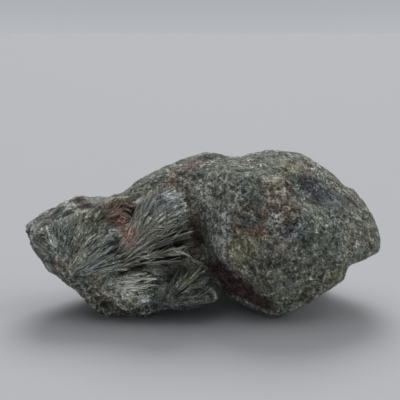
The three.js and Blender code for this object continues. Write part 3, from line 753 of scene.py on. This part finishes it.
def fanSurface(fan, along, across):
    # polar coordinates on the lobe's face: distance reach * along, angle from the first to the last.
    # Each bundle is a tent across its width, and ends short of the full reach by a share of its own.
    # Gives the foot on the lobe, the way out, the height over the foot, the crest (1 on a bundle's
    # ridge, 0 in its grooves), the bundle and the reach
    seed = fan["seed"]
    bundle, place = stripAt(unevenEdges(fan["bundles"], 0.5, 31 * seed), across)
    crest = np.clip(np.minimum(place / crestPlace, (1 - place) / (1 - crestPlace)), 0, 1)
    ragged = np.maximum(blend(*fan["ragged"], across), 0)
    cutShort = ragged * (random(bundle + 17.0 * seed) + grooveShort * (1 - crest))
    reach = spline(np.array(fan["reach"])[:, None], across)[..., 0] * (1 - cutShort)
    angle = np.radians(blend(*fan["angles"], across) - blend(*fan["bend"], across) * (along - 0.5))
    x = fan["root"][0] + reach * along * np.cos(angle)
    z = fan["root"][1] + reach * along * np.sin(angle)
    edge = smooth(0, fanEdge, across) * smooth(0, fanEdge, 1 - across)
    rise = (fan["sunk"] + fan["proud"]) * smooth(0, standBy, along) * edge - fan["sunk"]
    fall = blend(*fan["droop"], across) * smooth(droopFrom, 1, along) ** 2 * edge
    step = bundleStep * (random(bundle * 3.0 + 5 * seed) - 0.5)
    ridge = blend(*fan["ridge"], across) * blend(ridgeAtRoot, 1, along)
    foot = breakOff(np.stack([x, faceY(fan["lobe"], fan["side"], x, z), z], -1), fan["lobe"]["breaks"])
    height = rise - fall + ridge * (crest - ridgeBelow + step)
    return foot, outwardFrom(fan["lobe"], foot), height, crest, bundle, reach


def strandEdges(fan):
    return unevenEdges(fan["bundles"] * strandsPerBundle, 0.4, 57 * fan["seed"])


def sheafRelief(fan, along, across, reach):
    # the fan is broken into sheaves twice as long as they are wide. Gives the height, the tone factor
    # and how far across the fan the fibres are pushed there
    wander = sheafShape["wander"] * streak(across * 9, along * 5, fan["seed"])
    sideways = across * spreadOf(fan) * sheafShape["atRadius"]
    places = np.stack([along * reach / 2 + wander, sideways, np.full_like(across, 0.5)], -1)
    tilt, value, edge = chips(places, sheafShape["size"], fan["seed"] + 40)
    height = fan["sheaf"] * (sheafShape["tilt"] * tilt + value - 0.5)
    height = height - sheafShape["seam"] * smooth(0.1, 0, edge)
    return height, toneOfSheaf(value, edge, 0.09), fan["turn"] * (value - 0.5)


def strandRelief(fan, along, across, turn):
    # the bundles' strands: each is rounded across, and climbs along its length to a broken end where it
    # drops back, so that they lie like shingles. Gives the height, the climb from 0 to 1, the roundness,
    # the strand's own level and how short it has stopped
    seed = fan["seed"]
    wave = across + strandShape["sway"] * np.sin(along * 8 + across * 15)
    wave = wave + strandShape["turn"] * turn * (along - 0.5)
    strand, place = stripAt(strandEdges(fan), np.clip(wave, 0, 1))
    steps = blend(*strandShape["steps"], random(strand, 3, seed))
    climb = along * steps + 7 * random(strand, 5, seed)
    climb = climb - np.floor(climb)
    roundness = np.sqrt(np.clip(1 - (2 * place - 1) ** 2, 0, 1))
    level = random(strand, 7, seed) - 0.5
    strength = partingOf(fan, across)
    grown = smooth(0.15, 0.6, along) * strength
    # towards the tips the lower strands stop short, which leaves the others pointed
    low = smooth(-0.02, -0.2, level + 0.25 * (roundness - 0.8))
    short = smooth(0.55, 0.9, along) * low * np.minimum(strength, 1)
    height = strandShape["climb"] * climb**1.5 + strandShape["round"] * roundness
    height = grown * (height + strandShape["level"] * level - strandShape["below"])
    return height - strandShape["short"] * short, climb, roundness, level, short


def fibreRelief(fan, along, across, reach, turn):
    # noise across the fibres in octaves, each twice as many as the last, mixed so that a fibre stays
    # about one width however far from the root it is
    fewest = fibreShape["fewest"]
    arc = np.maximum(spreadOf(fan) * reach * along, fibreShape["width"])
    octave = np.log2(arc / fibreShape["width"] / fewest)
    wave = across + fibreShape["sway"] * streak(across * 7, along * reach / 4, 3) + turn * (along - 0.5)
    place = along * reach / fibreShape["length"]
    fine = 0
    for k in range(fibreShape["octaves"]):
        line = 1 - 2 * np.abs(streak(wave * fewest * 2**k, place + 3 * k, fan["seed"] + k))
        fine = fine + line * np.clip(1 - np.abs(octave - k), 0, 1)
    return fine


def grooveDepth(fan, along, across):
    # a bell curve across each deep gap between strands, which widens from its start on: 1 at its bottom.
    # Gives the depth and the shadow
    depth = shadow = np.zeros_like(across)
    for at, halfWidth, deep, start in fan["grooves"]:
        width = halfWidth * smooth(start, 0.5 * start + 0.5, along)
        wave = across - at - grooveShape["drift"] * (along - start)
        wave = wave + grooveShape["sway"] * np.sin(along * 14 + at * 40)
        gap = np.exp(-((wave / np.maximum(width, 0.001)) ** 2))
        gap = gap * (1 - grooveShape["shallowTips"] * smooth(0.8, 1, along))
        depth, shadow = depth + deep * gap, shadow + gap
    return depth, shadow


def bareOf(stainedAndShaded):
    # 0 where a dark stain or painted shade covers the stone and 1 where none does, told by how light the
    # tone is
    return smooth(0.05, 0.24, stainedAndShaded[..., 1])


def fanTone(points, fan, along, across, crest, bundle, climb, roundness, level, fine, sheafShade):
    # painted shade in the grooves and at the start of a strand, painted light at its broken end, on its
    # round middle and on raised strands, painted silvery sheen on the crests and at broken ends, and
    # neither lightened nor silvery where a dark stain or painted shade covers them
    strength = np.minimum(partingOf(fan, across), 1)
    stainedAndShaded = paint(points)
    bare = bareOf(stainedAndShaded)
    lightness = blend(*fanTones["bundle"], random(bundle * 5.0 + 13 * fan["seed"]))
    lightness = lightness * blend(1, blend(*fan["lightness"], across), bare)
    # painted light and shade: dark where a strand starts and light where it breaks off, light on its
    # round middle, on raised strands and on fine ridges, dark in the grooves between bundles
    shade = blend(*fanTones["climb"], climb) * blend(*fanTones["round"], roundness)
    shade = blend(1, shade * (1 + fanTones["level"] * level), strength) * sheafShade
    shade = shade * (1 + fanTones["fine"] * fine * smooth(0.15, 0.5, along))
    shade = shade * (1 - fanTones["groove"] * strength * (1 - crest) ** 2)
    shade = shade * (1 + mottle(points, fanTones["mottle"]))
    shade = np.clip(shade, fanTones["least"], fanTones["most"])
    tone = np.minimum(stainedAndShaded * (lightness * shade)[..., None], brightest)
    # painted silvery sheen on climbing ends, fine ridges, raised strands and crests
    paintedSheen = fanPaintedSheen["climb"] * climb + fanPaintedSheen["fine"] * fine + fanPaintedSheen["level"] * level
    paintedSheen = paintedSheen + fanPaintedSheen["crest"] * (crest - 0.5)
    shine = blend(*fan["shine"], across) * smooth(fanPaintedSheen["from"], fanPaintedSheen["to"], paintedSheen)
    shine = shine * smooth(-0.3, 0.6, noise(points, 4, 12)) * bare
    return blend(tone, stoneTones["paintedSheen"], np.clip(shine, 0, fanPaintedSheen["most"])[..., None])


def raggedEnds(fan, along, across):
    # every strand and every fibre ends a little sooner or later than its neighbours
    strand = stripAt(strandEdges(fan), across)[0]
    cut = fanEnds["strandShort"] * partingOf(fan, across) * random(strand, 9, fan["seed"])
    fray = fanEnds["fibreShort"] * streak(across * fanEnds["fibres"], np.zeros_like(across), 5)
    return along * (1 + (fanEnds["longest"] - cut + fray - 1) * smooth(fanEnds["from"], 1, along))


def fanPiece(name, fan):
    columns, rows = fan["columns"], fan["rows"]
    wallRows, deepRows = 9, 4
    across, along = np.meshgrid(
        np.linspace(0, 1, columns), np.linspace(rootStart, 1, rows), indexing="ij")
    along = raggedEnds(fan, along, across)
    foot, outward, height, crest, bundle, reach = fanSurface(fan, along, across)
    sheafHeight, sheafShade, turn = sheafRelief(fan, along, across, reach)
    strandHeight, climb, roundness, level, short = strandRelief(fan, along, across, turn)
    fine = fibreRelief(fan, along, across, reach, turn)
    groove, shadow = grooveDepth(fan, along, across)
    grown = smooth(0.1, 0.5, along)
    relief = sheafHeight + fibreShape["height"] * fine + mottle(foot, [fanRelief["lumps"]])
    relief = relief - fanRelief["bundleGap"] * partingOf(fan, across) * (1 - crest) ** 4
    height = height + strandHeight + grown * relief - groove
    height = height - fanRelief["tipFall"] * smooth(fanRelief["tipFrom"], 1, along)
    face = foot + height[..., None] * outward
    deep = foot - fan["depth"] * outward
    # the wall goes from the tips down into the rock, then the deep side comes back to the root
    down = np.linspace(0, 1, wallRows + 1)[1:]
    wall = blend(face[:, -1, None], deep[:, -1, None], down[:, None])
    back = deep[:, ::-1][:, :: rows // deepRows][:, 1:]
    rings = np.concatenate([face, wall, back], 1)
    hidden = rings.shape[1] - rows
    tone = fanTone(face, fan, along, across, crest, bundle, climb, roundness, level, fine, sheafShade)
    # painted shade in the deep gaps and where strands stop short
    dark = np.clip(shadow + fanTones["short"] * short, 0, 1)
    tone = tone * (1 - fanTones["gap"] * dark)[..., None]
    # painted shade, darker down the wall under the tips
    dim = np.linspace(*fanTones["wall"], hidden)[:, None]
    tone = np.concatenate([tone, blend(paint(rings[:, rows:]), tone[:, -1, None], 0.4) * dim], 1)
    fibreMap = np.stack([along * reach, across * spreadOf(fan) * max(fan["reach"])], -1)
    fibreMap = np.concatenate([fibreMap, np.repeat(fibreMap[:, -1, None], hidden, 1)], 1)
    fibrous = 1 - blend(*fan["felt"], across[:, :1]) * (1 + mottle(rings, [fanFelt]))
    fibrous[:, :rows] = fibrous[:, :rows] * grown
    rings[..., 2] = np.maximum(rings[..., 2], 0)
    ends = np.stack([rings[0].mean(0), rings[-1].mean(0)])
    caps = tone[[0, -1], 0]
    return tubeMeshes(name, rings[None], ends, tone[None], caps, fibrous[None], fibreMap[None])


fibrousPieces += [fanPiece(name, fan) for name, fan in fans.items()]

# loose splinters that lie along the fibres, pointed at both ends, and larger blades with more painted
# silvery sheen
splinter = {
    "across": [0.02, 0.98], "ends": [0.4, 1.0],  # where the outer end lies, in shares of the reach
    "length": [0.08, 0.3],  # share of the reach, least and most
    "width": [0.18, 0.55], "thick": 0.4,  # thickness as a share of the width
    "lift": [0.0, 0.9],  # how far the outer end stands up from the fan
    "lean": 0.10,  # how far it may stray across the fan
    "roll": [-0.45, 0.45],  # how far its flat side leans over, in radians
    "stiff": 0.3,  # how straight it is where the fan curves
    "dark": 0.75, "shine": 0.6,  # how much they differ in tone, and how much painted silvery sheen the brightest get
}
# larger blades: the same keys, where shine is how much painted silvery sheen the brightest get
blade = {
    "length": [0.16, 0.42], "width": [0.35, 0.9], "thick": 0.35, "lift": [0.1, 0.9], "lean": 0.05,
    "roll": [-0.4, 0.5], "stiff": 0.85, "dark": 0.35, "shine": 0.9,
    "nearest": 0.55,  # where the outer end of one lies at the least
}
bladeProfile = [0.55, 1.0, 0.9, 0.6]  # share of the width at the corners between the two ends
bladeStations = np.array([0.0, 0.15, 0.45, 0.75, 0.92, 1.0])
straightBy = 3  # a stiff one runs straight from its first station through this one
splinterPaintedLight = [0.85, 1.2, 0.85, 0.4]  # painted light and shade on its edges: both sides, the outer (lighter) and the inner (darkest)
liftedBy = 0.1  # how far its centre line lies over the fan's fibres
offFloor = 0.1  # how far the splinters keep off what the rock lies on
smallest = 0.7  # how long and wide they are where the strands don't part, in shares of the full size


def splintersOn(fan, kind, one, limits):
    # diamonds of four corners carried along a fibre: centre line on the fan's surface plus a lift that
    # grows with the square of the way along, sides along the cross product of the line and the way out.
    # They are more and larger where the fan's strands part more, get painted silvery sheen where it
    # shines, have painted light and shade on their edges, and keep out of the deep gaps
    one = one[random(one, 12) < partingOf(fan, blend(*limits, random(one, 1))) / max(fan["strands"])]
    across = blend(*limits, random(one, 1))
    inGroove = grooveDepth(fan, 0.9, across)[1] > 0.25
    one, across = one[~inGroove], across[~inGroove]
    strength = np.minimum(partingOf(fan, across), 1)
    length = blend(*kind["length"], random(one, 2) ** 2) * blend(smallest, 1, strength)
    end = blend(*kind["ends"], random(one, 3) ** 0.6)
    along = np.maximum((end - length)[:, None] + length[:, None] * bladeStations, rootStart)
    lean = kind["lean"] * (2 * random(one, 4) - 1)
    acrossAt = np.clip(across[:, None] + lean[:, None] * (bladeStations - 0.3), 0.005, 0.995)
    foot, outward, height = fanSurface(fan, along, acrossAt)[:3]
    height = blend(height.mean(1, keepdims=True), height, 0.6)
    lift = (blend(*kind["lift"], random(one, 5) ** 2) * strength)[:, None] * bladeStations**2
    line = foot + (height + liftedBy)[..., None] * outward
    share = bladeStations / bladeStations[straightBy]
    straight = blend(line[:, :1], line[:, straightBy, None], share[:, None])
    line = blend(line, straight, kind["stiff"]) + lift[..., None] * outward
    sideways = unit(np.cross(unit(np.gradient(line, axis=1)), outward))
    width = blend(*kind["width"], random(one, 6) ** 2) * blend(smallest, 1, strength)
    half = (width[:, None] / 2 * np.array(bladeProfile))[..., None]
    roll = fan["side"] * -blend(*kind["roll"], random(one, 7))[:, None, None]
    flat = sideways[:, 1:-1] * np.cos(roll) + outward[:, 1:-1] * np.sin(roll)
    tall = (outward[:, 1:-1] * np.cos(roll) - sideways[:, 1:-1] * np.sin(roll)) * kind["thick"]
    middle = line[:, 1:-1]
    corners = [middle + flat * half, middle + tall * half, middle - flat * half, middle - tall * half]
    # painted silvery sheen on the brightest
    shine = smooth(0.55 * kind["dark"], 1, random(one, 8)) * kind["shine"]
    stainedAndShaded = paint(middle)
    bare = bareOf(stainedAndShaded)
    shine = np.minimum((shine * blend(*fan["shine"], across))[:, None] * bare, 0.9)[..., None]
    darkness = blend(1, blend(0.2, 1.8, random(one, 9) ** 1.3), kind["dark"])
    lightness = blend(1, blend(*fan["lightness"], across)[:, None], bare)
    tone = stainedAndShaded * (darkness[:, None] * lightness)[..., None]
    tone = np.minimum(blend(tone, stoneTones["paintedSheen"], shine), brightest)
    # painted light and shade on each edge
    sides = np.array(splinterPaintedLight)[:, None]
    return np.stack(corners, 2), line[:, [0, -1]], tone[:, :, None] * sides, tone[:, [0, -1]]


splinters = []
for fan in fans.values():
    bladeCount, bladeFrom, bladeTo, bladeEnd = fan["blades"]
    one = np.arange(fan["splinters"] + bladeCount) + 1000.0 * fan["seed"]
    splinters.append(splintersOn(fan, splinter, one[bladeCount:], splinter["across"]))
    if bladeCount:
        bladeOnFan = dict(blade, ends=[blade["nearest"], bladeEnd])
        splinters.append(splintersOn(fan, bladeOnFan, one[:bladeCount], [bladeFrom, bladeTo]))
rings, ends, tones, endTones = (np.concatenate(part) for part in zip(*splinters))
rings[..., 2] = np.maximum(rings[..., 2], offFloor)
splinterPiece = tubeMeshes("splinters", rings, ends, tones, endTones)
print("stone shaped")


def addNode(tree, kind, **settings):
    node = tree.nodes.new(kind)
    for name, value in settings.items():
        if hasattr(node, name):
            setattr(node, name, value)
        else:
            node.inputs[name.replace("_", " ")].default_value = value
    return node


def mathNode(tree, operation, first, second):
    node = addNode(tree, "ShaderNodeMath", operation=operation)
    for k, value in enumerate((first, second)):
        if isinstance(value, (int, float)):
            node.inputs[k].default_value = value
        else:
            tree.links.new(value, node.inputs[k])
    return node.outputs[0]


def rangeNode(tree, value, low, high, toLow, toHigh):
    node = addNode(tree, "ShaderNodeMapRange", From_Min=low, From_Max=high, To_Min=toLow, To_Max=toHigh)
    tree.links.new(value, node.inputs["Value"])
    return node.outputs["Result"]


def mixNode(tree, share, first, last):
    node = addNode(tree, "ShaderNodeMix", data_type="FLOAT")
    for socket, value in zip(node.inputs, (share, None, first, last)):
        if isinstance(value, float):
            socket.default_value = value
        elif value is not None:
            tree.links.new(value, socket)
    return node.outputs[0]


# what is too fine for the meshes. Scales are waves a metre, or a millimetre for the hairs, and each
# brightness goes from the pattern's lowest value to its highest
fineStone = {
    "threads": (600.0, 850.0, 1200.0), "threadShift": (0.31, 0.17, 0.23),
    "threadHalf": (0.00002, 0.0001),  # values of the noise where a thread is full and ends, times scale
    "buried": 170.0,
    "pits": ((400.0, 0.7), (950.0, 0.3)),  # scale, and the brightness left in them
    "hairs": ((2.6, 0.6), (1.2, 0.25)),  # across and along the fibres
    "feltBrightness": (0.2, 3.05), "feltGrit": (0.3, 1.7),
    "hairBrightness": (0.1, 2.1), "hairGrit": (0.1, 1.9),
    "brownness": 1.13,  # power of the brightness that the blue gets, so that dark places are browner
    "bump": 0.0004, "splinterBump": 0.00003,
}


def noiseNode(tree, vector, **settings):
    node = addNode(tree, "ShaderNodeTexNoise", **settings)
    tree.links.new(vector, node.inputs["Vector"])
    return node.outputs["Fac"]


def startStone(name, rough, shine):
    material = bpy.data.materials.new(name)
    material.use_nodes = True
    shader = material.node_tree.nodes["Principled BSDF"]
    shader.inputs["Roughness"].default_value = rough
    shader.inputs["Specular IOR Level"].default_value = shine
    shader.inputs["Sheen Weight"].default_value = 0.08  # fine fibres glow along the rock's outline
    shader.inputs["Sheen Roughness"].default_value = 0.5
    return material, material.node_tree, shader


def finishStone(tree, shader, brightness, relief, depth):
    # the corner tone times the brightness, browner where dark and cooler where bright, and a bump of the
    # given depth in metres
    tone = addNode(tree, "ShaderNodeAttribute", attribute_name="tone")
    scale = addNode(tree, "ShaderNodeCombineXYZ")
    tree.links.new(brightness, scale.inputs["X"])
    tree.links.new(brightness, scale.inputs["Y"])
    tree.links.new(mathNode(tree, "POWER", brightness, fineStone["brownness"]), scale.inputs["Z"])
    colour = addNode(tree, "ShaderNodeVectorMath", operation="MULTIPLY")
    tree.links.new(tone.outputs["Color"], colour.inputs[0])
    tree.links.new(scale.outputs["Vector"], colour.inputs[1])
    tree.links.new(colour.outputs["Vector"], shader.inputs["Base Color"])
    bump = addNode(tree, "ShaderNodeBump", Strength=1.0, Distance=depth)
    tree.links.new(relief, bump.inputs["Height"])
    tree.links.new(bump.outputs["Normal"], shader.inputs["Normal"])


def feltPattern(tree, coordinates):
    # short pale threads: lines where a noise crosses its middle, broken up by another noise
    felt = 0.0
    for k, scale in enumerate(fineStone["threads"]):
        mapping = addNode(tree, "ShaderNodeMapping")
        mapping.inputs["Location"].default_value = [k * step for step in fineStone["threadShift"]]
        tree.links.new(coordinates, mapping.inputs["Vector"])
        shifted = mapping.outputs["Vector"]
        line = noiseNode(tree, shifted, Scale=scale, Detail=1.0, Distortion=1.2)
        patch = noiseNode(tree, shifted, Scale=scale * 0.8, Detail=0.0)
        offMiddle = mathNode(tree, "ABSOLUTE", mathNode(tree, "SUBTRACT", line, 0.5), 0)
        core, edge = (scale * share for share in fineStone["threadHalf"])
        thread = rangeNode(tree, offMiddle, core, edge, 1.0, 0.0)
        thread = mathNode(tree, "MULTIPLY", thread, rangeNode(tree, patch, 0.4, 0.6, 0.1, 1.0))
        felt = mathNode(tree, "MAXIMUM", felt, thread)
    # the threads stand out in some places and lie buried in others
    buried = noiseNode(tree, coordinates, Scale=fineStone["buried"], Detail=1.0)
    felt = mixNode(tree, rangeNode(tree, buried, 0.38, 0.62, 0.35, 1.0), 0.32, felt)
    # and dark pits break through them
    for scale, left in fineStone["pits"]:
        pit = noiseNode(tree, coordinates, Scale=scale, Detail=1.0, Distortion=0.6)
        felt = mathNode(tree, "MULTIPLY", felt, rangeNode(tree, pit, 0.54, 0.66, 1.0, left))
    return felt


def hairPattern(tree):
    # hairs: noise stretched along the first coordinate of the "fibre" map
    fibre = addNode(tree, "ShaderNodeUVMap", uv_map="fibre")
    hairs = 0.0
    for acrossScale, alongScale in fineStone["hairs"]:
        stretched = addNode(tree, "ShaderNodeMapping")
        stretched.inputs["Scale"].default_value = (alongScale, acrossScale, 1)
        tree.links.new(fibre.outputs["UV"], stretched.inputs["Vector"])
        hair = noiseNode(
            tree, stretched.outputs["Vector"], Scale=1.0, Detail=2.0, Roughness=0.6, Distortion=0.3)
        hairs = mathNode(tree, "ADD", hairs, hair)
    return rangeNode(tree, hairs, 0.72, 1.28, 0.0, 1.0)


def gritPattern(tree, coordinates, scale):
    grit = noiseNode(tree, coordinates, Scale=scale, Detail=2.0, Roughness=0.6)
    return rangeNode(tree, grit, 0.3, 0.7, 0.0, 1.0)


def brightnessOf(tree, pattern, grit, kind):
    # what the pattern gives times what the grit gives
    main = rangeNode(tree, pattern, 0, 1, *fineStone[kind + "Brightness"])
    return mathNode(tree, "MULTIPLY", main, rangeNode(tree, grit, 0, 1, *fineStone[kind + "Grit"]))


def grainyRelief(tree, felt, grit):
    return mathNode(tree, "ADD", felt, mathNode(tree, "MULTIPLY", grit, 0.4))


def grainyStone():
    material, tree, shader = startStone("grainy green stone", 0.6, 0.35)
    coordinates = addNode(tree, "ShaderNodeTexCoord").outputs["Object"]
    felt, grit = feltPattern(tree, coordinates), gritPattern(tree, coordinates, 2400.0)
    brightness = brightnessOf(tree, felt, grit, "felt")
    finishStone(tree, shader, brightness, grainyRelief(tree, felt, grit), fineStone["bump"])
    return material


def fibrousStone():
    # hairs where the stone is fibrous and felt where it isn't
    material, tree, shader = startStone("fibrous green stone", 0.48, 0.6)
    coordinates = addNode(tree, "ShaderNodeTexCoord").outputs["Object"]
    felt, hairs = feltPattern(tree, coordinates), hairPattern(tree)
    grit = gritPattern(tree, coordinates, 2300.0)
    share = addNode(tree, "ShaderNodeAttribute", attribute_name="fibrous").outputs["Fac"]
    grainy, hairy = brightnessOf(tree, felt, grit, "felt"), brightnessOf(tree, hairs, grit, "hair")
    relief = mixNode(tree, share, grainyRelief(tree, felt, grit), hairs)
    finishStone(tree, shader, mixNode(tree, share, grainy, hairy), relief, fineStone["bump"])
    return material


def splinteredStone():
    material, tree, shader = startStone("splintered green stone", 0.36, 0.8)
    coordinates = addNode(tree, "ShaderNodeTexCoord").outputs["Object"]
    grit = gritPattern(tree, coordinates, 2500.0)
    brightness = rangeNode(tree, grit, 0, 1, 0.75, 1.25)
    finishStone(tree, shader, brightness, grit, fineStone["splinterBump"])
    return material


boulderPiece.data.materials.append(grainyStone())
fibrousFinish = fibrousStone()
for piece in fibrousPieces:
    piece.data.materials.append(fibrousFinish)
splinterPiece.data.materials.append(splinteredStone())
print("stone finished")

stage = {"size": 30.0, "colour": (0.62, 0.63, 0.66)}
light = {
    "colour": (0.91, 0.95, 1.0),
    "horizonBehind": 0.51, "horizonInFront": 0.70, "zenith": 0.10, "bandHeight": 0.38,
    "lamps": [  # compass angle from the front towards the right, height, strength and softness
        ("overhead", 178, 48, 1.20, 30),
        ("top", 178, 70, 0.92, 90),
        ("right", 90, 32, 0.48, 45),
    ],
}
camera = {"distance": 208.0, "height": 69.0, "tiltDown": 11.4, "lens": 75.0, "sensor": 36.0}


def makeFloor():
    size = stage["size"]
    mesh = bpy.data.meshes.new("floor")
    corners = [(-size, -size, 0), (size, -size, 0), (size, size, 0), (-size, size, 0)]
    mesh.from_pydata(corners, [], [(0, 1, 2, 3)])
    floor = bpy.data.objects.new("floor", mesh)
    material = bpy.data.materials.new("pale floor")
    material.use_nodes = True
    shader = material.node_tree.nodes["Principled BSDF"]
    shader.inputs["Base Color"].default_value = (*stage["colour"], 1)
    shader.inputs["Roughness"].default_value = 0.9
    floor.data.materials.append(material)
    bpy.context.collection.objects.link(floor)


def makeLight():
    world = bpy.data.worlds.new("tent")
    bpy.context.scene.world = world
    world.use_nodes = True
    tree = world.node_tree
    background = tree.nodes["Background"]
    background.inputs["Color"].default_value = (*light["colour"], 1)
    # walls all round, brighter in front of the fans than behind them, that fade into a dim ceiling
    direction = addNode(tree, "ShaderNodeSeparateXYZ")
    tree.links.new(addNode(tree, "ShaderNodeTexCoord").outputs["Generated"], direction.inputs["Vector"])
    walls = rangeNode(
        tree, direction.outputs["Y"], -1.0, 1.0, light["horizonInFront"], light["horizonBehind"])
    share = rangeNode(tree, direction.outputs["Z"], 0.0, light["bandHeight"], 1.0, 0.0)
    strength = mathNode(tree, "MAXIMUM", mathNode(tree, "MULTIPLY", walls, share), light["zenith"])
    tree.links.new(strength, background.inputs["Strength"])
    for name, compass, height, strength, softness in light["lamps"]:
        data = bpy.data.lights.new(name, "SUN")
        data.energy = strength
        data.angle = np.radians(softness)
        lamp = bpy.data.objects.new(name, data)
        lamp.rotation_euler = (np.radians(90 - height), 0, np.radians(compass))
        bpy.context.collection.objects.link(lamp)


def makeCamera():
    data = bpy.data.cameras.new("camera")
    data.lens, data.sensor_width = camera["lens"], camera["sensor"]
    data.clip_start, data.clip_end = 0.01, 100
    eye = bpy.data.objects.new("camera", data)
    place = np.array([0, -camera["distance"], camera["height"]]) - footprintMiddle
    eye.location = place * millimetre
    eye.rotation_euler = (np.radians(90 - camera["tiltDown"]), 0, 0)
    bpy.context.collection.objects.link(eye)
    bpy.context.scene.camera = eye


makeFloor()
makeLight()
makeCamera()
bpy.context.scene.view_settings.view_transform = "Standard"
print("stage, light and camera placed")
